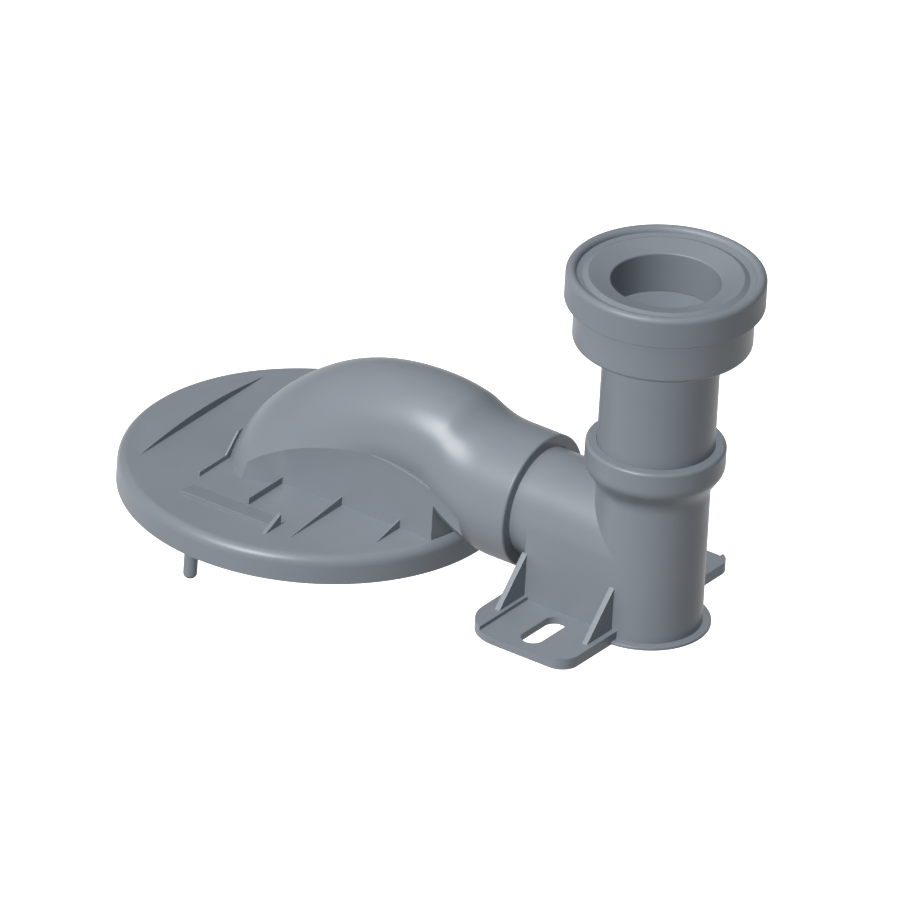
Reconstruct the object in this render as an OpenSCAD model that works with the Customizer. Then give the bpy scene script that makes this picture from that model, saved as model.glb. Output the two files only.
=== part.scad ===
// Floor drain pipe: a round floor disc carries an arched bend, whose socket takes
// the branch of an upright inlet body with two slotted fixing brackets. A riser with
// a cup stands in the body's collar, and a rubber ring seals the inlet.
// The origin is on the disc's axis at the level of the body's foot.

/* [Floor disc] */
// Radius of the round disc
disc_r = 126; // [115:1:140]
// Height of the deck's top
deck_z = 20.4; // [16:0.2:28]
// Thickness of the deck and of the skirt
disc_wall = 3; // [2:0.1:4]
// Radius of the round between deck and skirt
disc_round = 6.5; // [4.5:0.1:9]
// Radius of the fillet under the deck's rim
deck_fillet = 1.5; // [0.5:0.1:4]
// Height of the skirt's lower edge
skirt_z = 1.5; // [0:0.1:4]
// Distance between neighbouring deck ribs
rib_pitch = 44.8; // [40:0.2:48]
// Thickness of a deck rib
rib_t = 2; // [1.2:0.1:3]
// Height of the blunt rib
blunt_rib_h = 3.4; // [2:0.1:5]
// Height of the tapered ribs at the bend's wall
tapered_rib_h = 4.8; // [2:0.1:7]
// Height of the bowed shelf at its middle
shelf_h = 4.1; // [2:0.1:6]
// Distance of the bowed shelf's edge from the disc's axis
shelf_x = 89.5; // [86:0.5:100]
// Radius of the shelf's foot
shelf_foot_r = 112; // [104:0.5:116]
// Distance between a tapered rib's toe and the deck's rounded edge
rib_toe = 18; // [10:0.5:30]
// Length of the blunt rib outside the bend's wall
blunt_rib_l = 36.6; // [20:0.2:45]
// Height of the rib behind the heel
heel_rib_h = 2.5; // [1.5:0.1:4]
// Length of the low end of the rib behind the heel
heel_rib_l = 29; // [15:0.5:35]
// Distance from the middle to the place where the rib behind the heel rises
heel_rib_y = 36; // [33:0.5:40]
// Height of the top of the rib behind the heel
heel_rib_z = 36; // [30:0.5:38]
// Height of the low front step on the deck
step_h = 2; // [1:0.1:3]
// Width of the front step
step_w = 15; // [8:0.5:25]
// Distance from the first tapered rib back to the step's end
step_end = 14.5; // [5:0.5:25]
// Height of the small wedge at the step's end
wedge_h = 6.3; // [3:0.1:8]
// Length of the small wedge
wedge_l = 17; // [10:0.5:24]
// Thickness of the small wedge
wedge_t = 3; // [2:0.1:6]
// Distance of the front step's edge from the disc's axis
step_y = 90.5; // [85:0.5:95]
// Length of the front step along X
step_l = 72; // [50:1:80]

/* [Locating pegs] */
// Number of pegs under the disc
peg_count = 3; // [2:1:6]
// Radius of a peg
peg_r = 4.5; // [3:0.1:5.5]
// Distance of the pegs from the disc's axis
peg_circle_r = 115.8; // [105:0.1:116]
// Depth of the peg tips below the body's foot
peg_depth = 20; // [10:0.5:30]
// Height of a peg's chamfered tip
peg_tip = 1.5; // [0.5:0.1:2.5]
// Direction of the first peg
peg_turn = -97; // [-110:1:-80]

/* [Arched bend] */
// Outer radius of the bend's foot and of the outlet
foot_r = 55.4; // [50:0.1:58]
// Outer radius of the pipe beyond the crown
arch_r = 39; // [37.5:0.1:42]
// Radius of the arch's centreline
arch_turn_r = 80; // [76:0.5:86]
// Distance from the disc's axis to the crown
crown_x = 85; // [82:0.5:90]
// Height of the centreline at the crown
crown_z = 73.7; // [70:0.1:78]
// Turn of the pipe past the crown, in degrees
drop_turn = 24; // [18:1:26]
// Swelling of the heel
heel_swell = 4; // [0:0.5:6]
// Wall of the arched pipe
arch_wall = 4.5; // [3.5:0.1:5.5]
// Wall of the outlet
outlet_wall = 3.5; // [2.5:0.1:4.5]
// Step from the arched pipe up to the socket
socket_step = 0.6; // [0.3:0.1:2]
// Depth of the outlet below the body's foot
outlet_depth = 20; // [10:0.5:38]
// Distance from the disc's axis to the end of the side walls
side_wall_x = 113.7; // [108:0.1:116]
// Distance from the disc's axis to the front edge of the side pockets
pocket_x = 3; // [0:0.5:10]
// Highest point of the ledge over the side pockets
ledge_z = 58.7; // [55:0.1:62]
// Radius of the ledge's bow
ledge_bow_r = 140; // [120:1:180]
// Distance of the ledge's highest point before the crown
ledge_lead = 22; // [10:1:30]

/* [Joint between bend and body] */
// Height of the branch's axis
branch_z = 54.8; // [52:0.1:58]
// Distance from the disc's axis to the socket's mouth
socket_end_x = 172.6; // [168:0.1:176]
// Depth of the socket
socket_l = 35; // [25:0.5:36]
// Outer radius of the socket
socket_r = 44.1; // [42:0.1:48]
// Clearance around the branch and at its end
branch_gap = 0.3; // [0.1:0.05:0.6]

/* [Inlet body] */
// Distance from the disc's axis to the body's axis
body_x = 255.2; // [250:0.1:262]
// Outer radius of the body's tube and branch
tube_r = 36.25; // [34:0.05:37]
// Wall of the body
body_wall = 3; // [2.4:0.1:3.6]
// Radius of the foot ring
foot_ring_r = 41.8; // [40:0.1:45]
// Height of the foot ring
foot_ring_h = 2.2; // [1.5:0.1:4]
// Outer radius of the collar
collar_r = 44.8; // [43.5:0.1:48]
// Height of the collar's top
collar_z = 128.4; // [124:0.1:134]
// Height of the collar's round part
collar_h = 16.2; // [14:0.1:20]
// Height of the slope under the collar
collar_slope = 12.8; // [10:0.1:16]
// Radius of the collar's rounded rims
collar_round = 2.2; // [1:0.1:2.6]
// Distance between the body's floor and its foot
body_floor_z = 20; // [17.8:0.1:21]

/* [Fixing brackets] */
// Distance from the body's axis plane to a bracket's front edge
bracket_y = 91.4; // [86:0.1:100]
// Distance from the disc's axis to a bracket's near end
bracket_x = 175.3; // [170:0.1:178]
// Length of a bracket along X
bracket_l = 83.2; // [80:0.1:90]
// Thickness of a bracket's plate
bracket_t = 5; // [3:0.1:6]
// Height of the raised margins
margin_h = 7.6; // [6.5:0.1:10]
// Width of the near margin
near_margin = 14.3; // [11:0.1:16]
// Width of the far margin
far_margin = 7.8; // [6:0.1:10]
// Radius of a bracket's corners
bracket_round = 12.6; // [6:0.1:14]
// Width of the slot
slot_w = 15; // [8:0.5:18]
// Length of the slot from end to end
slot_l = 40; // [30:0.5:44]
// Distance from the body's axis plane to the slot's middle
slot_y = 61.4; // [58:0.1:64]
// Thickness of the gussets
gusset_t = 3.2; // [2:0.1:4]
// Height of the gussets' tops
gusset_z = 37; // [25:0.5:42]
// Distance from the body's axis plane to the gussets' toes
gusset_y = 63.5; // [55:0.5:75]

/* [Riser and cup] */
// Outer radius of the riser's neck
neck_r = 37.5; // [36.5:0.1:39]
// Wall of the riser
riser_wall = 3; // [2.4:0.1:3.5]
// Clearance around the riser in the collar and under it
riser_gap = 0.3; // [0.1:0.05:0.5]
// Depth of the riser in the collar
riser_seat = 20; // [12:0.5:21]
// Height of the cup's cone
cone_h = 10.8; // [6:0.1:14]
// Height from the cone's end up to the inlet hole's edge
cup_h = 40.6; // [36:0.1:46]
// Outer radius of the cup
cup_r = 57.4; // [55:0.1:60]
// Wall of the cup
cup_wall = 3.2; // [2.4:0.1:4]
// Radius of the round at the foot of the cup
cup_round = 3; // [1:0.1:4]

/* [Inlet seal] */
// Outer radius of the seal
seal_r = 63.9; // [62.5:0.1:67]
// Length of the skirt below the inlet hole's edge
skirt_l = 17.6; // [12:0.1:24]
// Height of the slope at the skirt's lower edge
skirt_slope = 3.4; // [1:0.1:5]
// Radius of the lip's round
seal_lip = 3.6; // [2:0.1:4.5]
// Outer radius of the dished ring
dish_r = 49.5; // [44:0.1:52]
// Drop of the dished ring from its outer edge to the hole
dish_drop = 3.8; // [1:0.1:6]
// Depth of the groove between the lip and the dished ring
groove_depth = 1.8; // [0.5:0.1:3]
// Rise of the lip over the inlet hole's edge
lip_rise = 6.3; // [4:0.1:10]
// Radius of the inlet hole
inlet_r = 35; // [30:0.1:40]
// Height of the inlet hole's edge
inlet_z = 244.4; // [240:0.1:246]
// Length of the sleeve down from the hole's edge
sleeve_l = 27.7; // [15:0.1:30]
// Thickness of the dished ring
seal_wall = 4.2; // [3:0.1:5]
// Wall of the sleeve
sleeve_wall = 2.6; // [1.6:0.1:4]
// Clearance between the seal and the cup
seal_gap = 0.2; // [0.1:0.05:0.4]

/* [Hidden] */
$fn = 96;
pipe_color = "slategray";
seal_color = "lightslategray";
arch_z = crown_z - arch_turn_r;
branch_bore_r = tube_r - body_wall;
socket_x = socket_end_x - socket_l;
socket_bore_r = tube_r + branch_gap;
branch_tip_x = socket_x + branch_gap;
riser_z = collar_z - riser_seat;
neck_bore_r = neck_r - riser_wall;
cup_z = inlet_z - cup_h;
cup_cone_z = cup_z - cone_h;
collar_bore_r = neck_r + riser_gap;
near_gusset_x = bracket_x + near_margin - gusset_t;
overlap = 1;
through = 400;

// Points of a quarter arc in the profile plane
function arc(cx, cy, r, from, to, steps = 8) = [
    for (i = [0:steps]) let (a = from + (to - from) * i / steps) [cx + r * cos(a), cy + r * sin(a)]
];

// Tapered sweep along the arch: every ring lies in a plane through the arch's own axis,
// so the rings never cross although the heel is wider than the bend is tight
ring_steps = 40;
sweep_start = 84;
sweep_step = 6;
heel_turn = 45;
taper_power = 1.9;
offset_power = 8;
foot_offset = crown_x - arch_turn_r;

function swell(turn) = turn > heel_turn ? heel_swell * pow(sin(2 * (turn - heel_turn)), 2) : 0;
function ring_r(turn) =
    turn > 0 ? arch_r + (foot_r - arch_r) * pow(sin(turn), taper_power) + swell(turn) / 2 : arch_r;
function ring_reach(turn) =
    turn > 0 ? arch_turn_r + foot_offset * pow(sin(turn), offset_power) + swell(turn) / 2 : arch_turn_r;
function ring(turn, inset) = [
    for (k = [0:ring_steps - 1])
        let (a = 360 * k / ring_steps, reach = ring_reach(turn) + (ring_r(turn) - inset) * cos(a))
        [crown_x - reach * sin(turn), (ring_r(turn) - inset) * sin(a), arch_z + reach * cos(turn)]
];

function mouth_ring(r) = [
    for (k = [0:ring_steps - 1])
        let (a = 360 * k / ring_steps)
        [socket_x + overlap, r * sin(a), branch_z + r * cos(a)]
];

module arch(inset, mouth_r) {
    turns = [for (t = [sweep_start:-sweep_step:-drop_turn]) t];
    rings = concat([for (t = turns) each ring(t, inset)], mouth_ring(mouth_r));
    last = len(turns) * ring_steps;
    sides = [
        for (i = [0:len(turns) - 1], k = [0:ring_steps - 1], half = [0:1])
            let (n = (k + 1) % ring_steps, b = i * ring_steps)
            half == 0 ? [b + k, b + n, b + ring_steps + n] : [b + k, b + ring_steps + n, b + ring_steps + k]
    ];
    near_cap = [for (k = [ring_steps - 1:-1:0]) k];
    far_cap = [for (k = [0:ring_steps - 1]) last + k];
    polyhedron(points = rings, faces = concat([near_cap, far_cap], sides), convexity = 6);
}

// Everything of a sweep above a height
module arch_above(z, inset, mouth_r) {
    intersection() {
        arch(inset, mouth_r);
        translate([-through / 2, -through / 2, z]) cube(through);
    }
}

// Flat-sided pockets on both sides of the arch, grown by a wall for the passage's own shape
module side_pockets(grow) {
    lead = 1.2;
    reach = 60;
    wall_y = tube_r - grow;
    start_x = pocket_x - grow;
    for (side = [-1, 1])
        intersection() {
            translate([0, 0, deck_z - grow])
                linear_extrude(through)
                    polygon([
                        [start_x, side * wall_y],
                        [start_x - lead * reach, side * (wall_y + reach)],
                        [socket_x, side * (wall_y + reach)],
                        [socket_x, side * wall_y]
                    ]);
            translate([crown_x - ledge_lead, through / 2, ledge_z - ledge_bow_r])
                rotate([90, 0, 0]) cylinder(r = ledge_bow_r + grow, h = through);
        }
}

// Drum of the disc: a deck with a rounded rim, open below
module drum_section(inset, round_r) {
    r = disc_r - inset;
    top = deck_z - inset;
    square([r - round_r, top]);
    square([r, top - round_r]);
    translate([r - round_r, top - round_r]) circle(round_r);
}

module drum() {
    difference() {
        rotate_extrude()
            intersection() {
                drum_section(0, disc_round);
                translate([0, skirt_z]) square([disc_r, deck_z]);
            }
        translate([0, 0, -overlap])
            rotate_extrude() {
                square([disc_r - disc_wall, 2 * overlap]);
                translate([0, overlap]) drum_section(disc_wall, deck_fillet);
            }
    }
}

// Shelf that rises from the rim to a bowed step
module shelf() {
    intersection() {
        translate([0, 0, deck_z - overlap])
            rotate_extrude()
                polygon([
                    [0, 0],
                    [shelf_foot_r, 0],
                    [shelf_foot_r, overlap],
                    [shelf_x, overlap + shelf_h],
                    [0, overlap + shelf_h]
                ]);
        translate([-disc_r, -disc_r, 0]) cube([disc_r - shelf_x, 2 * disc_r, through]);
    }
}

// Upright plate whose outline is given as [y, height over the deck] points
module deck_plate(face_x, thickness, outline) {
    translate([face_x - thickness, 0, deck_z - overlap])
        rotate([90, 0, 90])
            linear_extrude(thickness) polygon([for (p = outline) [p[0], p[1] + overlap]]);
}

// Ribs of one side of the deck, with the other side as their mirror image
module side_ribs() {
    root = tube_r - overlap;
    deck_flat_r = disc_r - disc_round;
    for (n = [1, 2]) {
        toe = sqrt(pow(deck_flat_r, 2) - pow(n * rib_pitch, 2)) - rib_toe;
        deck_plate(n * rib_pitch, rib_t, [
            [root, -overlap],
            [toe, -overlap],
            [toe, 0],
            [root, tapered_rib_h]
        ]);
    }
    blunt_end = tube_r + blunt_rib_l;
    deck_plate(0, rib_t, [
        [root, -overlap],
        [blunt_end, -overlap],
        [blunt_end, blunt_rib_h],
        [root, blunt_rib_h]
    ]);
    heel_top = heel_rib_z - deck_z;
    deck_plate(-rib_pitch, rib_t, [
        [0, -overlap],
        [heel_rib_y + heel_rib_l, -overlap],
        [heel_rib_y + heel_rib_l, heel_rib_h],
        [heel_rib_y, heel_rib_h],
        [heel_rib_y - heel_top + heel_rib_h, heel_top],
        [0, heel_top]
    ]);
}

// Low step in front of the bend, with the small wedge at its end
module front_step() {
    step_x = rib_pitch - step_end;
    deck_plate(step_x, step_l, [
        [-step_y, -overlap],
        [-step_y, step_h],
        [-step_y + step_w, 0],
        [-step_y + step_w, -overlap]
    ]);
    deck_plate(step_x, wedge_t, [
        [-step_y - wedge_l / 2, -overlap],
        [-step_y - wedge_l / 2, 0],
        [-step_y + wedge_l / 2, wedge_h],
        [-step_y + wedge_l / 2, -overlap]
    ]);
}

module pegs() {
    for (n = [0:peg_count - 1])
        rotate([0, 0, peg_turn + n * 360 / peg_count])
            translate([peg_circle_r, 0, -peg_depth]) {
                translate([0, 0, peg_tip])
                    cylinder(r = peg_r, h = deck_z + peg_depth - peg_tip - disc_wall / 2);
                cylinder(r1 = peg_r - peg_tip, r2 = peg_r, h = peg_tip);
            }
}

// Block of the side walls under the arch, up to the pipe's centreline
module wall_block(inset) {
    bottom = inset > 0 ? -overlap : deck_z - disc_wall;
    intersection() {
        translate([crown_x, tube_r - inset, arch_z])
            rotate([90, 0, 0]) cylinder(r = arch_turn_r, h = 2 * (tube_r - inset));
        translate([pocket_x, -disc_r, bottom]) cube([side_wall_x - pocket_x - inset, 2 * disc_r, crown_z]);
    }
}

module bend_flange() {
    deck_under = deck_z - disc_wall;
    color(pipe_color)
        difference() {
            union() {
                difference() {
                    union() {
                        drum();
                        wall_block(0);
                    }
                    difference() {
                        wall_block(disc_wall);
                        translate([0, 0, -through / 2]) cylinder(r = foot_r, h = through);
                    }
                }
                difference() {
                    arch_above(deck_under, 0, socket_r - socket_step);
                    side_pockets(0);
                }
                translate([0, 0, -outlet_depth]) cylinder(r = foot_r, h = outlet_depth + deck_z - overlap);
                translate([socket_x, 0, branch_z]) rotate([0, 90, 0]) cylinder(r = socket_r, h = socket_l);
                shelf();
                for (side = [0, 1]) mirror([0, side, 0]) side_ribs();
                front_step();
                pegs();
            }
            difference() {
                arch_above(deck_under, arch_wall, branch_bore_r);
                side_pockets(arch_wall);
            }
            translate([0, 0, -outlet_depth - overlap])
                cylinder(r = foot_r - outlet_wall, h = outlet_depth + overlap + deck_under);
            translate([socket_x, 0, branch_z])
                rotate([0, 90, 0]) cylinder(r = socket_bore_r, h = socket_l + overlap);
        }
}

// Body: tube with collar and foot ring, the branch on its web, and the brackets
module body_tube() {
    slope_z = collar_z - collar_h - collar_slope;
    rotate_extrude()
        polygon(concat(
            [[0, 0], [foot_ring_r, 0], [foot_ring_r, foot_ring_h], [tube_r, foot_ring_h]],
            [[tube_r, slope_z], [collar_r, collar_z - collar_h]],
            arc(collar_r - collar_round, collar_z - collar_round, collar_round, 0, 90),
            [[0, collar_z]]
        ));
}

module body_bore() {
    translate([0, 0, body_floor_z]) cylinder(r = branch_bore_r, h = through);
    translate([0, 0, riser_z - riser_gap]) cylinder(r = collar_bore_r, h = through);
    translate([0, 0, -overlap]) cylinder(r = branch_bore_r, h = overlap + body_floor_z - body_wall);
}

module bracket() {
    far_x = bracket_x + bracket_l;
    root_y = tube_r - body_wall / 2;
    mid_x = (bracket_x + near_margin + far_x - far_margin) / 2;
    difference() {
        translate([bracket_x, 0, 0])
            linear_extrude(margin_h) {
                translate([0, root_y]) square([bracket_l, bracket_y - bracket_round - root_y]);
                translate([bracket_round, root_y])
                    square([bracket_l - 2 * bracket_round, bracket_y - root_y]);
                for (x = [bracket_round, bracket_l - bracket_round])
                    translate([x, bracket_y - bracket_round]) circle(bracket_round);
            }
        translate([bracket_x + near_margin, tube_r, bracket_t])
            cube([bracket_l - near_margin - far_margin, bracket_y, margin_h]);
        for (y = [-1, 1] * (slot_l - slot_w) / 2)
            translate([mid_x, slot_y + y, -overlap]) cylinder(r = slot_w / 2, h = margin_h + 2 * overlap);
        translate([mid_x - slot_w / 2, slot_y - (slot_l - slot_w) / 2, -overlap])
            cube([slot_w, slot_l - slot_w, margin_h + 2 * overlap]);
    }
    for (x = [near_gusset_x, far_x - far_margin])
        translate([x, 0, 0])
            rotate([90, 0, 90])
                linear_extrude(gusset_t)
                    polygon([
                        [root_y, overlap],
                        [gusset_y, overlap],
                        [gusset_y, margin_h],
                        [tube_r, gusset_z],
                        [root_y, gusset_z]
                    ]);
}

module body() {
    web_w = 2 * tube_r;
    hollow_w = web_w - 2 * body_wall;
    color(pipe_color)
        difference() {
            union() {
                translate([body_x, 0, 0]) body_tube();
                translate([branch_tip_x, 0, branch_z])
                    rotate([0, 90, 0]) cylinder(r = tube_r, h = body_x - branch_tip_x);
                difference() {
                    translate([near_gusset_x, -tube_r, 0]) cube([body_x - near_gusset_x, web_w, branch_z]);
                    translate([near_gusset_x + body_wall, -hollow_w / 2, -overlap])
                        cube([body_x - near_gusset_x - tube_r - body_wall, hollow_w, branch_z]);
                }
                for (side = [0, 1]) mirror([0, side, 0]) bracket();
            }
            translate([body_x, 0, 0]) body_bore();
            translate([branch_tip_x - overlap, 0, branch_z])
                rotate([0, 90, 0]) cylinder(r = branch_bore_r, h = body_x - branch_tip_x + overlap);
        }
}

// Riser: neck and cup as one revolved shell
module riser() {
    cup_bore_r = cup_r - cup_wall;
    cup_top = inlet_z - seal_wall - seal_gap;
    cone_shift = riser_wall;
    color(pipe_color)
        translate([body_x, 0, 0])
            rotate_extrude()
                polygon(concat(
                    [[neck_bore_r, riser_z], [neck_r, riser_z], [neck_r, cup_cone_z]],
                    arc(cup_r - cup_round, cup_z, cup_round, -60, 0),
                    [[cup_r, cup_top], [cup_bore_r, cup_top], [cup_bore_r, cup_z + cone_shift]],
                    [[neck_bore_r, cup_cone_z + cone_shift]]
                ));
}

// Rubber seal: skirt over the cup, rounded lip, groove, dished ring and sleeve
module inlet_seal() {
    skirt_bore_r = cup_r + seal_gap;
    lip_x = seal_r - seal_lip;
    lip_z = inlet_z + lip_rise - seal_lip;
    skirt_foot_z = inlet_z - skirt_l;
    dish_z = inlet_z + dish_drop;
    groove_r = (lip_x - seal_lip + dish_r) / 2;
    under_z = inlet_z - seal_wall;
    sleeve_r = inlet_r + sleeve_wall;
    edge = sleeve_wall / 2;
    color(seal_color)
        translate([body_x, 0, 0])
            rotate_extrude()
                polygon(concat(
                    [[skirt_bore_r, skirt_foot_z], [seal_r, skirt_foot_z + skirt_slope]],
                    arc(lip_x, lip_z, seal_lip, 0, 180),
                    [[groove_r, dish_z - groove_depth], [dish_r, dish_z]],
                    arc(inlet_r + edge, inlet_z - edge, edge, 90, 180),
                    [[inlet_r, inlet_z - sleeve_l], [sleeve_r, inlet_z - sleeve_l], [sleeve_r, under_z]],
                    [[skirt_bore_r, under_z]]
                ));
}

bend_flange();
body();
riser();
inlet_seal();
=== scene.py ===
from math import atan2, cos, pi, radians, sin, sqrt, tan

import bmesh
import bpy
from mathutils import Matrix, Vector


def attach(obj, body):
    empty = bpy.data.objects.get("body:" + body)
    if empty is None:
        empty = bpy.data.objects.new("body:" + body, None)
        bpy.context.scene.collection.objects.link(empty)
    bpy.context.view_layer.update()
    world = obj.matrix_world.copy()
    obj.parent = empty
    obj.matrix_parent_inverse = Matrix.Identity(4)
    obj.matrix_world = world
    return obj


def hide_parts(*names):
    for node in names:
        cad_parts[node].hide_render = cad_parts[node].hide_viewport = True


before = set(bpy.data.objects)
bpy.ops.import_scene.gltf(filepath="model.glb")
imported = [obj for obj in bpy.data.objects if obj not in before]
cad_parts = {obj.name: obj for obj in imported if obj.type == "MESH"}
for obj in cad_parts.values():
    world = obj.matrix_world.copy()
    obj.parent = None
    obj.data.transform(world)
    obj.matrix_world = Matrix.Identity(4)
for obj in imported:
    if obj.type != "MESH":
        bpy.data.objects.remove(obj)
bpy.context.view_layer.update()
print("frame loaded")

mm = 0.001
scene = bpy.context.scene


# Small mesh tools, all in millimetres

def newPiece(name, points, faces):
    mesh = bpy.data.meshes.new(name)
    mesh.from_pydata([Vector(p) * mm for p in points], [], faces)
    piece = bpy.data.objects.new(name, mesh)
    scene.collection.objects.link(piece)
    return piece


def tidied(piece, place=None):
    # doubles merged, the place worked into the mesh, faces turned outwards
    work = bmesh.new()
    work.from_mesh(piece.data)
    if place is not None:
        bmesh.ops.transform(work, matrix=place, verts=work.verts)
    bmesh.ops.remove_doubles(work, verts=work.verts, dist=0.004 * mm)
    bmesh.ops.dissolve_degenerate(work, edges=work.edges, dist=0.002 * mm)
    bmesh.ops.recalc_face_normals(work, faces=work.faces)
    work.to_mesh(piece.data)
    work.free()
    return piece


def softened(corners, steps=6):
    # outline in which a corner (x, y, radius) is rounded
    outline = []
    for i, corner in enumerate(corners):
        if len(corner) < 3:
            outline.append(tuple(corner))
            continue
        here, radius = Vector(corner[:2]), corner[2]
        back = (Vector(corners[i - 1][:2]) - here).normalized()
        ahead = (Vector(corners[(i + 1) % len(corners)][:2]) - here).normalized()
        half = back.angle(ahead) / 2
        centre = here + (back + ahead).normalized() * (radius / sin(half))
        start = here + back * (radius / tan(half)) - centre
        end = here + ahead * (radius / tan(half)) - centre
        first = atan2(start.y, start.x)
        turn = (atan2(end.y, end.x) - first + pi) % (2 * pi) - pi
        for k in range(steps + 1):
            a = first + turn * k / steps
            outline.append((centre.x + radius * cos(a), centre.y + radius * sin(a)))
    return outline


def turned(name, outline, place=None, steps=192):
    # closed outline of (radius, height) points turned round the upright axis
    count = len(outline)
    points = [
        (r * cos(2 * pi * s / steps), r * sin(2 * pi * s / steps), z)
        for s in range(steps) for r, z in outline
    ]
    faces = [
        (s * count + i, (s + 1) % steps * count + i,
         (s + 1) % steps * count + (i + 1) % count, s * count + (i + 1) % count)
        for s in range(steps) for i in range(count)
    ]
    return tidied(newPiece(name, points, faces), place)


def slab(name, outline, bottom, top, place=None):
    # upright prism over a closed outline
    count = len(outline)
    points = [(x, y, z) for z in (bottom, top) for x, y in outline]
    faces = [tuple(range(count)), tuple(range(count, 2 * count))]
    faces += [(i, (i + 1) % count, count + (i + 1) % count, count + i) for i in range(count)]
    return tidied(newPiece(name, points, faces), place)


def block(name, low, high):
    corners = [(low[0], low[1]), (high[0], low[1]), (high[0], high[1]), (low[0], high[1])]
    return slab(name, corners, low[2], high[2])


def rod(radius, length, rings=1):
    # more rings keep the shading even where another shape meets the side
    return [(0, 0), *[(radius, length * i / rings) for i in range(rings + 1)], (0, length)]


def moved(x, y, z):
    return Matrix.Translation(Vector((x, y, z)) * mm)


alongX = Matrix.Rotation(radians(90), 4, "Y")
sideOn = Matrix(((0, 0, 1, 0), (1, 0, 0, 0), (0, 1, 0, 0), (0, 0, 0, 1)))  # outline y, z and depth along x


def settled(piece):
    # modifiers worked into a plain mesh
    graph = bpy.context.evaluated_depsgraph_get()
    mesh = bpy.data.meshes.new_from_object(piece.evaluated_get(graph))
    piece.modifiers.clear()
    piece.data = mesh
    return piece


def combined(piece, tools, operation="UNION"):
    for tool in tools:
        step = piece.modifiers.new("combine", "BOOLEAN")
        step.operation, step.solver, step.object = operation, "MANIFOLD", tool
    settled(piece)
    for tool in tools:
        bpy.data.objects.remove(tool)
    return piece


def eased(piece, width, angle=50):
    # small true rounds on the sharp edges
    step = piece.modifiers.new("ease", "BEVEL")
    step.width, step.segments, step.angle_limit = width * mm, 4, radians(angle)
    step.limit_method = "ANGLE"
    return settled(piece)


def mirrored(piece):
    # the same shape on the other side of the middle plane
    twin = piece.copy()
    twin.data = piece.data.copy()
    scene.collection.objects.link(twin)
    return tidied(twin, Matrix.Diagonal((1, -1, 1, 1)))


def dressed(piece, node, material, angle=19):
    piece.data.materials.clear()
    piece.data.materials.append(material)
    for face in piece.data.polygons:
        face.material_index = 0
    piece.data.shade_smooth()
    piece.data.set_sharp_from_angle(angle=radians(angle))
    even = piece.modifiers.new("even", "WEIGHTED_NORMAL")  # wide flats stay flat beside their rounds
    even.keep_sharp, even.weight = True, 80
    settled(piece)
    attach(piece, "root")
    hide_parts(node)
    return piece


# Materials: one finish group, placed in each material with its own values

def mouldedFinish():
    group = bpy.data.node_groups.new("mouldedFinish", "ShaderNodeTree")
    side = group.interface
    for name, kind, value in (
        ("Color", "NodeSocketColor", (0.2, 0.2, 0.2, 1)),
        ("Flow Color", "NodeSocketColor", (0.2, 0.2, 0.2, 1)),
        ("Dust Color", "NodeSocketColor", (0.3, 0.3, 0.3, 1)),
        ("Grain Size", "NodeSocketFloat", 1500),
        ("Roughness", "NodeSocketFloat", 0.4),
        ("Roughness Spread", "NodeSocketFloat", 0.08),
        ("Dust", "NodeSocketFloat", 0.1),
    ):
        side.new_socket(name, in_out="INPUT", socket_type=kind).default_value = value
    side.new_socket("Color", in_out="OUTPUT", socket_type="NodeSocketColor")
    for name in ("Roughness", "Height"):
        side.new_socket(name, in_out="OUTPUT", socket_type="NodeSocketFloat")
    add, link = group.nodes.new, group.links.new
    given, out = add("NodeGroupInput"), add("NodeGroupOutput")
    place = add("ShaderNodeTexCoord").outputs["Object"]

    def noise(scale, detail):
        node = add("ShaderNodeTexNoise")
        node.inputs["Scale"].default_value, node.inputs["Detail"].default_value = scale, detail
        link(place, node.inputs["Vector"])
        return node

    def mix(factor, first, second):
        node = add("ShaderNodeMix")
        node.data_type = "RGBA"
        link(factor, node.inputs[0])
        link(first, node.inputs[6])
        link(second, node.inputs[7])
        return node.outputs[2]

    def ranged(value, low, high, newLow, newHigh):
        node = add("ShaderNodeMapRange")
        link(value, node.inputs[0])
        for socket, number in zip(node.inputs[1:5], (low, high, newLow, newHigh)):
            if isinstance(number, (int, float)):
                socket.default_value = number
            else:
                link(number, socket)
        return node.outputs[0]

    flow = noise(9, 3).outputs["Fac"]  # slow colour drift of the moulding
    grain = noise(1500, 2)
    link(given.outputs["Grain Size"], grain.inputs["Scale"])
    tinted = mix(ranged(flow, 0.35, 0.65, 0, 1), given.outputs["Color"], given.outputs["Flow Color"])
    facing = add("ShaderNodeSeparateXYZ")
    link(add("ShaderNodeNewGeometry").outputs["Normal"], facing.inputs[0])
    lying = ranged(facing.outputs["Z"], 0.6, 1, 0, given.outputs["Dust"])  # faint dust on what faces up
    patch = add("ShaderNodeMath")
    patch.operation = "MULTIPLY"
    link(lying, patch.inputs[0])
    link(ranged(noise(60, 4).outputs["Fac"], 0.4, 0.7, 0, 1), patch.inputs[1])
    link(mix(patch.outputs[0], tinted, given.outputs["Dust Color"]), out.inputs["Color"])
    wander = ranged(noise(28, 3).outputs["Fac"], 0.3, 0.7, -0.5, 0.5)
    rough = add("ShaderNodeMath")
    rough.operation = "MULTIPLY_ADD"
    link(wander, rough.inputs[0])
    link(given.outputs["Roughness Spread"], rough.inputs[1])
    link(given.outputs["Roughness"], rough.inputs[2])
    link(rough.outputs[0], out.inputs["Roughness"])
    link(grain.outputs["Fac"], out.inputs["Height"])
    return group


finishGroup = mouldedFinish()

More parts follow.
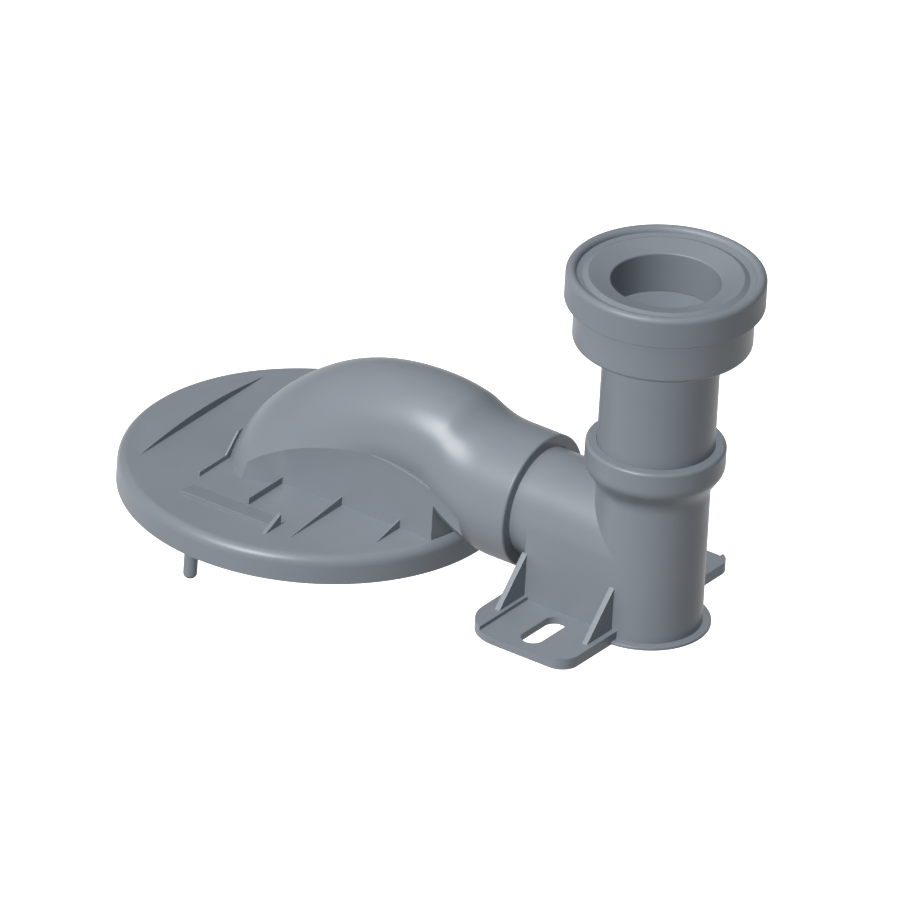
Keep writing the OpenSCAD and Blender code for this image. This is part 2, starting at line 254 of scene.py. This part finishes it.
pipePlastic = {
    "Color": (0.205, 0.232, 0.264, 1), "Flow Color": (0.221, 0.248, 0.281, 1),
    "Dust Color": (0.27, 0.29, 0.31, 1), "Grain Size": 1600,
    "Roughness": 0.34, "Roughness Spread": 0.08, "Dust": 0.12,
}
sealRubber = {
    "Color": (0.200, 0.226, 0.257, 1), "Flow Color": (0.216, 0.243, 0.275, 1),
    "Dust Color": (0.27, 0.29, 0.31, 1), "Grain Size": 900,
    "Roughness": 0.46, "Roughness Spread": 0.1, "Dust": 0.16,
}


def finishMaterial(name, values, grainDepth, specular):
    material = bpy.data.materials.new(name)
    material.use_nodes = True
    tree = material.node_tree
    surface = tree.nodes["Principled BSDF"]
    surface.inputs["Specular IOR Level"].default_value = specular
    finish = tree.nodes.new("ShaderNodeGroup")
    finish.node_tree = finishGroup
    for key, value in values.items():
        finish.inputs[key].default_value = value
    bump = tree.nodes.new("ShaderNodeBump")
    bump.inputs["Strength"].default_value = 0.25
    bump.inputs["Distance"].default_value = grainDepth * mm
    tree.links.new(finish.outputs["Color"], surface.inputs["Base Color"])
    tree.links.new(finish.outputs["Roughness"], surface.inputs["Roughness"])
    tree.links.new(finish.outputs["Height"], bump.inputs["Height"])
    tree.links.new(bump.outputs["Normal"], surface.inputs["Normal"])
    return material


plastic = finishMaterial("mouldedPlastic", pipePlastic, 0.03, 0.5)
rubber = finishMaterial("sealRubber", sealRubber, 0.05, 0.5)
print("materials made")


# Arched bend: the sweep follows a rule, so it is a Geometry Nodes tree

bend = {
    "footRadius": 55.4, "pipeRadius": 39.0, "turnRadius": 80.0, "crownX": 85.0, "archHeight": -6.3,
    "footOffset": 5.0, "heelSwell": 4.0, "heelTurn": 45.0, "startTurn": 84.0, "endTurn": -14.0,
    "bendShare": 0.86, "mouthRun": 40.0, "mouthLead": 11.5, "mouthRadius": 44.08, "wall": 4.5,
    "socketX": 137.6, "socketRoot": 11.0, "socketLength": 35.0, "socketRadius": 44.1, "socketEdge": 1.6,
    "branchHeight": 54.8, "boreRadius": 36.55, "branchBore": 33.25, "sideWall": 3.0,
    "sideWallY": 36.25, "sideWallX": 113.7, "pocketX": 3.0, "pocketRound": 34.0, "pocketReach": 60.0,
    "pocketLead": 1.9, "pocketLean": 0.45, "ledgeX": 68.0, "ledgeTop": 65.7, "ledgeBow": 135.0,
    "outletWall": 3.5, "outletDepth": 20.0, "outletEdge": 0.8, "ringWidth": 8.6, "ringWall": 1.2,
    "beadFrom": 20.0, "beadTo": 128.0, "beadY": 39.8, "beadHalf": 0.8,
}


def archTree():
    tree = bpy.data.node_groups.new("archedPipe", "GeometryNodeTree")
    side = tree.interface
    for name, value in (("Rings", 96), ("Ring Points", 145)):
        side.new_socket(name, in_out="INPUT", socket_type="NodeSocketInt").default_value = value
    sizes = {
        "Foot Radius": bend["footRadius"], "Pipe Radius": bend["pipeRadius"],
        "Turn Radius": bend["turnRadius"], "Crown X": bend["crownX"], "Arch Height": bend["archHeight"],
        "Foot Offset": bend["footOffset"], "Heel Swell": bend["heelSwell"], "Heel Turn": bend["heelTurn"],
        "Start Turn": bend["startTurn"], "End Turn": bend["endTurn"], "Bend Share": bend["bendShare"],
        "Mouth X": bend["socketX"] + bend["mouthLead"], "Mouth Run": bend["mouthRun"],
        "Mouth Height": bend["branchHeight"], "Mouth Radius": bend["mouthRadius"], "Inset": 0.0,
    }
    for name, value in sizes.items():
        side.new_socket(name, in_out="INPUT", socket_type="NodeSocketFloat").default_value = value
    side.new_socket("Material", in_out="INPUT", socket_type="NodeSocketMaterial")
    side.new_socket("Geometry", in_out="OUTPUT", socket_type="NodeSocketGeometry")
    add, link = tree.nodes.new, tree.links.new
    given, out = add("NodeGroupInput").outputs, add("NodeGroupOutput")

    def calc(operation, *values):
        node = add("ShaderNodeMath")
        node.operation = operation
        for socket, value in zip(node.inputs, values):
            if isinstance(value, (int, float)):
                socket.default_value = value
            else:
                link(value, socket)
        return node.outputs[0]

    grid = add("GeometryNodeMeshGrid")
    link(given["Rings"], grid.inputs["Vertices X"])
    link(given["Ring Points"], grid.inputs["Vertices Y"])
    split = add("ShaderNodeSeparateXYZ")
    link(add("GeometryNodeInputPosition").outputs[0], split.inputs[0])
    lastRow = calc("SUBTRACT", given["Rings"], 1)
    row = calc("ROUND", calc("MULTIPLY", calc("ADD", split.outputs[0], 0.5), lastRow))
    angle = calc("MULTIPLY", calc("ADD", split.outputs[1], 0.5), 2 * pi)
    way = calc("DIVIDE", calc("SUBTRACT", row, 1), calc("SUBTRACT", given["Rings"], 3))
    way = calc("MINIMUM", calc("MAXIMUM", way, 0), 1)
    # first and last row close the ends: their rings shrink to the centre
    beforeLast = calc("LESS_THAN", row, calc("SUBTRACT", lastRow, 0.5))
    closing = calc("MULTIPLY", calc("GREATER_THAN", row, 0.5), beforeLast)
    bendPart = calc("DIVIDE", way, given["Bend Share"])  # runs on past the last full ring, under the blend
    sweep = calc("SUBTRACT", given["End Turn"], given["Start Turn"])
    turn = calc("ADD", given["Start Turn"], calc("MULTIPLY", sweep, bendPart))
    turnAngle = calc("RADIANS", turn)
    foot = calc("MAXIMUM", calc("SINE", turnAngle), 0)
    pastHeel = calc("MAXIMUM", calc("SUBTRACT", turn, given["Heel Turn"]), 0)
    heelWave = calc("POWER", calc("SINE", calc("RADIANS", calc("MULTIPLY", pastHeel, 2))), 2)
    swell = calc("MULTIPLY", calc("MULTIPLY", given["Heel Swell"], 0.5), heelWave)
    widening = calc("SUBTRACT", given["Foot Radius"], given["Pipe Radius"])
    taper = calc("MULTIPLY", widening, calc("POWER", foot, 1.9))
    full = calc("ADD", calc("ADD", given["Pipe Radius"], taper), calc("SUBTRACT", swell, given["Inset"]))
    radius = calc("MULTIPLY", full, closing)
    setOff = calc("ADD", calc("MULTIPLY", given["Foot Offset"], calc("POWER", foot, 8)), swell)
    reach = calc("ADD", given["Turn Radius"], setOff)
    reach = calc("ADD", reach, calc("MULTIPLY", radius, calc("COSINE", angle)))
    archPoint = add("ShaderNodeCombineXYZ")
    along = calc("MULTIPLY", reach, calc("SINE", turnAngle))
    link(calc("SUBTRACT", given["Crown X"], along), archPoint.inputs[0])
    link(calc("MULTIPLY", radius, calc("SINE", angle)), archPoint.inputs[1])
    rise = calc("MULTIPLY", reach, calc("COSINE", turnAngle))
    link(calc("ADD", given["Arch Height"], rise), archPoint.inputs[2])
    mouthRadius = calc("MULTIPLY", given["Mouth Radius"], closing)
    mouthPoint = add("ShaderNodeCombineXYZ")
    link(calc("MULTIPLY", mouthRadius, calc("SINE", angle)), mouthPoint.inputs[1])
    mouthRise = calc("MULTIPLY", mouthRadius, calc("COSINE", angle))
    link(calc("ADD", given["Mouth Height"], mouthRise), mouthPoint.inputs[2])
    pastBend = calc("MAXIMUM", calc("SUBTRACT", way, given["Bend Share"]), 0)
    mouthPart = calc("DIVIDE", pastBend, calc("SUBTRACT", 1, given["Bend Share"]))
    toMouth = calc("MULTIPLY", calc("SUBTRACT", 1, mouthPart), given["Mouth Run"])
    link(calc("SUBTRACT", given["Mouth X"], toMouth), mouthPoint.inputs[0])
    steepness = calc("SUBTRACT", 3, calc("MULTIPLY", mouthPart, 2))
    smoothPart = calc("MULTIPLY", calc("MULTIPLY", mouthPart, mouthPart), steepness)
    blend = add("ShaderNodeMix")
    blend.data_type = "VECTOR"
    link(smoothPart, blend.inputs[0])
    link(archPoint.outputs[0], blend.inputs[4])
    link(mouthPoint.outputs[0], blend.inputs[5])
    toMetres = add("ShaderNodeVectorMath")
    toMetres.operation = "SCALE"
    toMetres.inputs["Scale"].default_value = mm
    link(blend.outputs[1], toMetres.inputs[0])
    shape = add("GeometryNodeSetPosition")
    link(grid.outputs[0], shape.inputs["Geometry"])
    link(toMetres.outputs[0], shape.inputs["Position"])
    weld = add("GeometryNodeMergeByDistance")
    weld.inputs["Distance"].default_value = 0.004 * mm
    link(shape.outputs[0], weld.inputs["Geometry"])
    real, paint = add("GeometryNodeRealizeInstances"), add("GeometryNodeSetMaterial")
    link(weld.outputs[0], real.inputs[0])
    link(real.outputs[0], paint.inputs["Geometry"])
    link(given["Material"], paint.inputs["Material"])
    link(paint.outputs[0], out.inputs[0])
    return tree


bendTree = archTree()


def archedPipe(name, inset, mouthRadius):
    piece = newPiece(name, [(0, 0, 0)], [])
    step = piece.modifiers.new("arch", "NODES")
    step.node_group = bendTree
    items = bendTree.interface.items_tree
    sockets = {item.name: item.identifier for item in items if item.in_out == "INPUT"}
    step[sockets["Inset"]] = float(inset)
    step[sockets["Mouth Radius"]] = float(mouthRadius)
    step[sockets["Material"]] = plastic
    return tidied(settled(piece))


def bowed(name, outline):
    # outline turned about the ledge's own axis, across the bend
    place = moved(bend["ledgeX"], 0, bend["ledgeTop"] - bend["ledgeBow"])
    return turned(name, outline, place @ Matrix.Rotation(radians(90), 4, "X"), 360)


def sidePocket(grow):
    # flat-sided pocket under the bowed ledge, on the near side; its end at the heel leans back
    wallY, startX = bend["sideWallY"] - grow, bend["pocketX"] - grow
    outY, farX = wallY + bend["pocketReach"], 2 * bend["socketX"]
    outline = [
        (startX, -wallY, bend["pocketRound"]),
        (startX - bend["pocketLead"] * bend["pocketReach"], -outY), (farX, -outY), (farX, -wallY),
    ]
    lean = Matrix.Identity(4)
    lean[0][2] = -bend["pocketLean"]
    place = moved(bend["pocketLean"] * disc["deckTop"], 0, 0) @ lean
    pocket = slab("pocket", softened(outline, 8), disc["deckTop"] - grow, 200, place)
    bow = bowed("bow", rod(bend["ledgeBow"] + grow, 200))
    beforeSocket = block("beforeSocket", (-200, -200, 0), (bend["socketX"], 0, 150))
    return combined(pocket, [bow, beforeSocket], "INTERSECT")


def ledgeBead():
    # thin bead along the bowed ledge, through both side walls
    inner, outer, y = bend["ledgeBow"] - bend["beadHalf"], bend["ledgeBow"] + bend["beadHalf"], bend["beadY"]
    bead = bowed("bead", [(inner, -y), (outer, -y), (outer, y), (inner, y)])
    combined(bead, [block("reach", (bend["beadFrom"], -60, 30), (bend["beadTo"], 60, 90))], "INTERSECT")
    return eased(bead, 0.3)


disc = {
    "radius": 126.0, "deckTop": 20.4, "wall": 3.0, "rimRound": 6.5, "deckFillet": 1.5, "skirtFoot": 1.5,
    "ribPitch": 44.8, "ribWall": 1.5, "bluntHeight": 4.6, "bluntLength": 38.2,
    "taperedHeight": 6.3, "ribToe": 17.0,
    "shelfX": 89.5, "shelfFoot": 112.0, "shelfHeight": 5.4,
    "heelRibY": 36.0, "heelRibLength": 29.0, "heelRibHeight": 3.2, "heelRibTop": 36.0,
    "stepY": 90.5, "stepWidth": 15.0, "stepHeight": 2.0, "stepX": 30.3, "stepLength": 72.0,
    "wedgeHeight": 7.6, "wedgeLength": 17.0, "wedgeWall": 3.0,
    "pegs": 3, "pegRadius": 4.5, "pegCircle": 115.8, "pegDepth": 20.0, "pegTip": 3.4, "pegTurn": -97.0,
    "edge": 0.35,
}


def deckPlate(name, faceX, thickness, outline):
    plate = slab(name, [(y, disc["deckTop"] + h) for y, h in outline], faceX - thickness, faceX, sideOn)
    return eased(plate, disc["edge"])


def deckRibs():
    ribs = []
    root = bend["sideWallY"] - 1
    flat = disc["radius"] - disc["rimRound"]
    for n in (1, 2):
        toe = sqrt(flat ** 2 - (n * disc["ribPitch"]) ** 2) - disc["ribToe"]
        outline = [(-root, -1), (-toe, -1), (-toe, 0), (-root, disc["taperedHeight"])]
        ribs.append(deckPlate("rib", n * disc["ribPitch"], disc["ribWall"], outline))
    end, high = bend["sideWallY"] + disc["bluntLength"], disc["bluntHeight"]
    ribs.append(deckPlate("rib", 0, disc["ribWall"], [(-root, -1), (-end, -1), (-end, high), (-root, high)]))
    top, far = disc["heelRibTop"] - disc["deckTop"], disc["heelRibY"] + disc["heelRibLength"]
    low, bendY = disc["heelRibHeight"], -disc["heelRibY"]
    outline = [(1, -1), (-far, -1), (-far, low), (bendY, low), (bendY + top - low, top), (1, top)]
    ribs.append(deckPlate("rib", -disc["ribPitch"], disc["ribWall"], outline))
    return ribs + [mirrored(rib) for rib in ribs]


def discShell():
    r, top, wall = disc["radius"], disc["deckTop"], disc["wall"]
    inner = r - wall
    outline = softened([
        (0, top), (r, top, disc["rimRound"]), (r, disc["skirtFoot"], 0.6), (inner, disc["skirtFoot"], 0.6),
        (inner, top - wall, disc["deckFillet"]), (0, top - wall),
    ], 9)
    return turned("disc", outline, None, 288)


def underArch(name, y):
    # round slice between two side planes, under the arch's centre line
    place = moved(bend["crownX"], y, bend["archHeight"]) @ Matrix.Rotation(radians(90), 4, "X")
    return turned(name, rod(bend["turnRadius"], 2 * y), place, 240)


def makeBend():
    top, deckUnder = disc["deckTop"], disc["deckTop"] - disc["wall"]
    deck = discShell()
    y, wall, size = bend["sideWallY"], bend["sideWall"], disc["radius"]
    rimSide = turned("rimSide", rod(size - disc["rimRound"] - 0.05, 120), None, 288)
    walls = block("walls", (bend["pocketX"], -80, deckUnder), (size, 80, 90))
    combined(walls, [underArch("wallTop", y), rimSide], "INTERSECT")
    hollow = block("hollow", (bend["pocketX"], -80, -1), (bend["sideWallX"] - wall, 80, 90))
    combined(hollow, [underArch("hollowTop", y - wall)], "INTERSECT")
    # a ring of the deck stays round the outlet, and the arch's wall stands on it
    foot, ring = bend["footRadius"], bend["footRadius"] + bend["ringWidth"]
    footWell = turned("footWell", [
        (0, -60), (foot, -60), (foot, deckUnder - 1), (ring, deckUnder - 1), (ring, top),
        (foot, top), (foot, 120), (0, 120)])
    combined(hollow, [footWell], "DIFFERENCE")
    combined(deck, [walls])
    combined(deck, [hollow], "DIFFERENCE")
    outer = archedPipe("outer", 0, bend["mouthRadius"])
    inDrum = disc["radius"] - disc["wall"]
    combined(outer, [block("below", (-200, -200, -200), (inDrum, 200, deckUnder + 1))], "DIFFERENCE")
    near, nearInner = sidePocket(0), sidePocket(bend["wall"])
    far, farInner = mirrored(near), mirrored(nearInner)
    combined(outer, [near, far], "DIFFERENCE")
    passage = archedPipe("passage", bend["wall"], bend["branchBore"])
    ringTop = deckUnder + bend["ringWall"]
    combined(passage, [block("above", (-200, -200, ringTop), (200, 200, 200))], "INTERSECT")
    combined(passage, [nearInner, farInner], "DIFFERENCE")
    spigot = turned("spigot", softened([
        (0, -bend["outletDepth"]), (foot, -bend["outletDepth"], bend["outletEdge"]),
        (foot, top - 1), (0, top - 1)]))
    socket = turned("socket", softened([
        (0, bend["socketRoot"]), (bend["socketRadius"], bend["socketRoot"]),
        (bend["socketRadius"], bend["socketLength"], bend["socketEdge"]), (0, bend["socketLength"])]),
        moved(bend["socketX"], 0, bend["branchHeight"]) @ alongX)
    shelf = turned("shelf", [
        (0, top - 1), (disc["shelfFoot"], top - 1), (disc["shelfFoot"], top),
        (disc["shelfX"], top + disc["shelfHeight"]), (0, top + disc["shelfHeight"])])
    combined(shelf, [block("cut", (-200, -200, 0), (-disc["shelfX"], 200, 60))], "INTERSECT")
    step = deckPlate("step", disc["stepX"], disc["stepLength"], [
        (-disc["stepY"], -1), (-disc["stepY"], disc["stepHeight"]),
        (-disc["stepY"] + disc["stepWidth"], 0), (-disc["stepY"] + disc["stepWidth"], -1)])
    half = disc["wedgeLength"] / 2
    wedge = deckPlate("wedge", disc["stepX"], disc["wedgeWall"], [
        (-disc["stepY"] - half, -1), (-disc["stepY"] - half, 0),
        (-disc["stepY"] + half, disc["wedgeHeight"]), (-disc["stepY"] + half, -1)])
    pegs = []
    for n in range(disc["pegs"]):
        spin = Matrix.Rotation(radians(disc["pegTurn"] + 360 / disc["pegs"] * n), 4, "Z")
        tip, r = disc["pegTip"], disc["pegRadius"]
        root = disc["deckTop"] + disc["pegDepth"] - 1.5
        outline = softened([(0, 0), (r, 0, tip), (r, root), (0, root)])
        pegs.append(turned("peg", outline, spin @ moved(disc["pegCircle"], 0, -disc["pegDepth"]), 48))
    combined(deck, [outer, ledgeBead(), spigot, socket, shelf, step, wedge, *deckRibs(), *pegs])
    wellRadius, wellFoot = foot - bend["outletWall"], -bend["outletDepth"] - 1
    well = turned("well", [(0, wellFoot), (wellRadius, wellFoot), (wellRadius, ringTop), (0, ringTop)])
    mouth = turned("mouth", rod(bend["boreRadius"], bend["socketLength"] + 1), moved(
        bend["socketX"], 0, bend["branchHeight"]) @ alongX)
    combined(deck, [passage, well, mouth], "DIFFERENCE")
    deck.name = "floorBend"
    return deck


body = {
    "x": 255.2, "tubeRadius": 36.25, "wall": 3.0, "footRing": 41.8, "footRingHeight": 2.2,
    "collarRadius": 44.8, "collarTop": 128.4, "collarHeight": 16.2, "collarSlope": 12.8, "collarRound": 2.2,
    "boreRadius": 37.8, "boreLead": 0.8, "seatHeight": 108.1, "floorHeight": 20.0, "branchX": 137.9,
    "bracketX": 175.3, "bracketLength": 83.2, "bracketY": 91.4, "bracketRound": 12.6, "nearRound": 26.0,
    "plate": 5.0, "plateEdge": 0.9, "margin": 7.6, "nearMargin": 14.3, "farMargin": 7.8,
    "slotWidth": 15.0, "slotLength": 40.0, "slotY": 61.4,
    "gussetWall": 4.0, "gussetTop": 37.0, "gussetToe": 63.5, "gussetSetback": 2.5, "edge": 0.4, "rings": 24,
}


def makeBracket():
    length, far = body["bracketLength"], body["bracketX"] + body["bracketLength"]
    root, out = -body["tubeRadius"] + body["wall"] / 2, -body["bracketY"]
    plate = slab("plate", softened([
        (0, root), (0, out, body["nearRound"]), (length, out, body["bracketRound"]), (length, root)], 12),
        0, body["margin"], moved(body["bracketX"], 0, 0))
    low, high = body["bracketX"] + body["nearMargin"], far - body["farMargin"]
    recess = block("recess", (low, -120, body["plate"]), (high, -body["tubeRadius"], 30))
    half, middle = body["slotWidth"] / 2, (low + high) / 2
    y1, y2 = -body["slotY"] - body["slotLength"] / 2, -body["slotY"] + body["slotLength"] / 2
    slot = slab("slot", softened([
        (middle - half, y1, half - 0.01), (middle + half, y1, half - 0.01),
        (middle + half, y2, half - 0.01), (middle - half, y2, half - 0.01)], 12), -1, 30)
    combined(plate, [recess, slot], "DIFFERENCE")
    eased(plate, body["plateEdge"])
    gussets = []
    for x in (low - body["gussetSetback"] - body["gussetWall"], high):
        outline = [
            (root, 1), (-body["gussetToe"], 1), (-body["gussetToe"], body["margin"]),
            (-body["tubeRadius"], body["gussetTop"]), (root, body["gussetTop"])]
        gussets.append(eased(slab("gusset", outline, x, x + body["gussetWall"], sideOn), body["edge"]))
    return combined(plate, gussets)


def makeBody():
    r, wall, ring = body["tubeRadius"], body["wall"], body["footRing"]
    low, collarZ = body["footRingHeight"], body["collarTop"] - body["collarHeight"]
    slopeZ, rings = collarZ - body["collarSlope"], body["rings"]
    side = [(r, low + (slopeZ - 6 - low) * i / rings) for i in range(rings + 1)]
    upright = moved(body["x"], 0, 0)
    tube = turned("tube", softened([
        (0, 0), (ring, 0, 0.5), (ring, low, 0.5), *side,
        (r, slopeZ, 16), (body["collarRadius"], collarZ, 11),
        (body["collarRadius"], body["collarTop"], body["collarRound"]), (0, body["collarTop"])], 8), upright)
    branchLength = body["x"] - body["branchX"]
    branchPlace = moved(body["branchX"], 0, bend["branchHeight"]) @ alongX
    branch = turned("branch", rod(r, branchLength, body["rings"]), branchPlace)
    webX = body["bracketX"] + body["nearMargin"] - body["gussetWall"]
    web = block("web", (webX, -r, 0), (body["x"], r, bend["branchHeight"]))
    high = bend["branchHeight"] - 1
    hollow = block("hollow", (webX + wall, -r + wall, -1), (body["x"] - r, r - wall, high))
    combined(web, [hollow], "DIFFERENCE")
    near = makeBracket()
    combined(tube, [branch, web, near, mirrored(near)])
    bore, floor, mouth = r - wall, body["floorHeight"], body["boreRadius"]
    under, through = floor - wall, moved(body["branchX"] - 1, 0, bend["branchHeight"]) @ alongX
    tools = [
        turned("bore", [(0, floor), (bore, floor), (bore, 200), (0, 200)], upright),
        turned("seat", [
            (0, body["seatHeight"]), (mouth, body["seatHeight"]), (mouth, body["collarTop"]),
            (mouth + body["boreLead"], body["collarTop"] + body["boreLead"]), (0, 200)], upright),
        turned("underside", [(0, -1), (bore, -1), (bore, under), (0, under)], upright),
        turned("passage", rod(bore, branchLength + 1), through),
    ]
    combined(tube, tools, "DIFFERENCE")
    tube.name = "inletBody"
    return tube


cup = {
    "neckRadius": 37.5, "wall": 3.0, "foot": 108.4, "coneFoot": 193.0, "coneTop": 203.8, "cupRadius": 57.4,
    "cupWall": 3.2, "cupRound": 3.0, "rim": 240.0,
}


def makeRiser():
    neck, out, wall = cup["neckRadius"], cup["cupRadius"], cup["wall"]
    bore, inner = neck - wall, out - cup["cupWall"]
    outline = softened([
        (bore, cup["foot"], 0.5), (neck, cup["foot"], 0.5), (neck, cup["coneFoot"], 0.8),
        (out, cup["coneTop"] - 1.6, cup["cupRound"]), (out, cup["rim"], 0.5), (inner, cup["rim"], 0.5),
        (inner, cup["coneTop"] + wall, 1.5), (bore, cup["coneFoot"] + wall, 1.5)], 8)
    return turned("riserCup", outline, moved(body["x"], 0, 0))


seal = {
    "radius": 63.9, "bore": 57.6, "skirtFoot": 226.8, "skirtSlope": 3.4, "top": 250.7, "lip": 3.6,
    "groove": 1.8, "dishRadius": 49.5, "dishHeight": 248.2, "inletRadius": 35.0, "inletHeight": 244.4,
    "sleeveRadius": 37.6, "sleeveFoot": 216.7, "under": 240.2,
}


def makeSeal():
    lip, bore, inlet, sleeve = seal["lip"], seal["bore"], seal["inletRadius"], seal["sleeveRadius"]
    lipX, lipZ = seal["radius"] - lip, seal["top"] - lip
    grooveX = (lipX - lip + seal["dishRadius"]) / 2
    edge = (sleeve - inlet) / 2
    lipTurns = [radians(a) for a in range(0, 181, 10)]
    noseTurns = [radians(a) for a in range(90, 181, 15)]
    arc = [(lipX + lip * cos(a), lipZ + lip * sin(a)) for a in lipTurns]
    nose = [(inlet + edge + edge * cos(a), seal["inletHeight"] - edge + edge * sin(a)) for a in noseTurns]
    outline = softened([
        (bore, seal["skirtFoot"], 0.3), (seal["radius"], seal["skirtFoot"] + seal["skirtSlope"], 0.8),
        *arc, (grooveX, seal["dishHeight"] - seal["groove"], 0.9),
        (seal["dishRadius"], seal["dishHeight"], 1.2),
        *nose, (inlet, seal["sleeveFoot"], 0.6), (sleeve, seal["sleeveFoot"], 0.6),
        (sleeve, seal["under"]), (bore, seal["under"])], 6)
    return turned("inletSeal", outline, moved(body["x"], 0, 0))


dressed(makeBend(), "bend_flange", plastic)
print("bend made")
dressed(makeBody(), "body", plastic)
print("body made")
dressed(makeRiser(), "riser", plastic)
dressed(makeSeal(), "inlet_seal", rubber)
print("riser and seal made")


# Studio: pale floor, soft lamps, camera at the photograph's angle

studio = {
    "keyFrom": (-0.1, -0.7, 0.7), "keyPower": 3.3, "keyAngle": 32,
    "topFrom": (-0.2, -0.35, 1), "topPower": 0.35, "topAngle": 40,
    "ambient": 0.2, "floorHeight": -0.02, "floorSize": 6.0,
}
view = {
    "right": (0.8140, 0.5784, 0.0547), "up": (-0.3192, 0.3664, 0.8740), "back": (0.4855, -0.7288, 0.4828),
    "alongRight": 0.08483, "alongUp": 0.02507, "distance": 1.6, "width": 0.567,
}


def lamp(name, fromWay, power, angle, shadow):
    light = bpy.data.lights.new(name, "SUN")
    light.energy, light.angle, light.use_shadow = power, radians(angle), shadow
    holder = bpy.data.objects.new(name, light)
    holder.rotation_euler = Vector(fromWay).to_track_quat("Z", "Y").to_euler()
    scene.collection.objects.link(holder)


def makeStudio():
    lamp("key", studio["keyFrom"], studio["keyPower"], studio["keyAngle"], False)
    lamp("top", studio["topFrom"], studio["topPower"], studio["topAngle"], True)
    world = bpy.data.worlds.new("studio")
    scene.world = world
    world.use_nodes = True
    tree = world.node_tree
    white = tree.nodes["Background"]
    white.inputs["Color"].default_value = (1, 1, 1, 1)
    rays = tree.nodes.new("ShaderNodeLightPath")
    seen = tree.nodes.new("ShaderNodeMath")
    seen.operation = "MAXIMUM"
    tree.links.new(rays.outputs["Is Camera Ray"], seen.inputs[0])
    tree.links.new(rays.outputs["Is Transmission Ray"], seen.inputs[1])
    level = tree.nodes.new("ShaderNodeMapRange")
    level.inputs["To Min"].default_value = studio["ambient"]
    tree.links.new(seen.outputs[0], level.inputs["Value"])
    tree.links.new(level.outputs[0], white.inputs["Strength"])

    half = studio["floorSize"] / 2 / mm
    low = studio["floorHeight"] / mm
    corners = [(-half, -half, low), (half, -half, low), (half, half, low), (-half, half, low)]
    floor = newPiece("floor", corners, [(0, 1, 2, 3)])
    material = bpy.data.materials.new("paleFloor")
    material.use_nodes = True
    nodes, links = material.node_tree.nodes, material.node_tree.links
    surface = nodes["Principled BSDF"]
    surface.inputs["Base Color"].default_value = (0.9, 0.9, 0.9, 1)
    surface.inputs["Roughness"].default_value = 0.9
    surface.inputs["Specular IOR Level"].default_value = 0.1
    surface.inputs["Emission Color"].default_value = (1, 1, 1, 1)
    cameraRay = nodes.new("ShaderNodeLightPath")
    links.new(cameraRay.outputs["Is Camera Ray"], surface.inputs["Emission Strength"])
    floor.data.materials.append(material)
    floor.visible_diffuse = False  # the pale floor sends no light up into the shaded sides


def makeCamera():
    camera = bpy.data.cameras.new("camera")
    camera.type, camera.ortho_scale = "ORTHO", view["width"]
    camera.clip_end = 20
    holder = bpy.data.objects.new("camera", camera)
    right, up, back = (Vector(view[key]).normalized() for key in ("right", "up", "back"))
    turn = Matrix((right, up, back)).transposed().to_4x4()
    place = right * view["alongRight"] + up * view["alongUp"] + back * view["distance"]
    holder.matrix_world = Matrix.Translation(place) @ turn
    scene.collection.objects.link(holder)
    scene.camera = holder


makeStudio()
makeCamera()
scene.view_settings.view_transform = "Standard"
print("studio made")
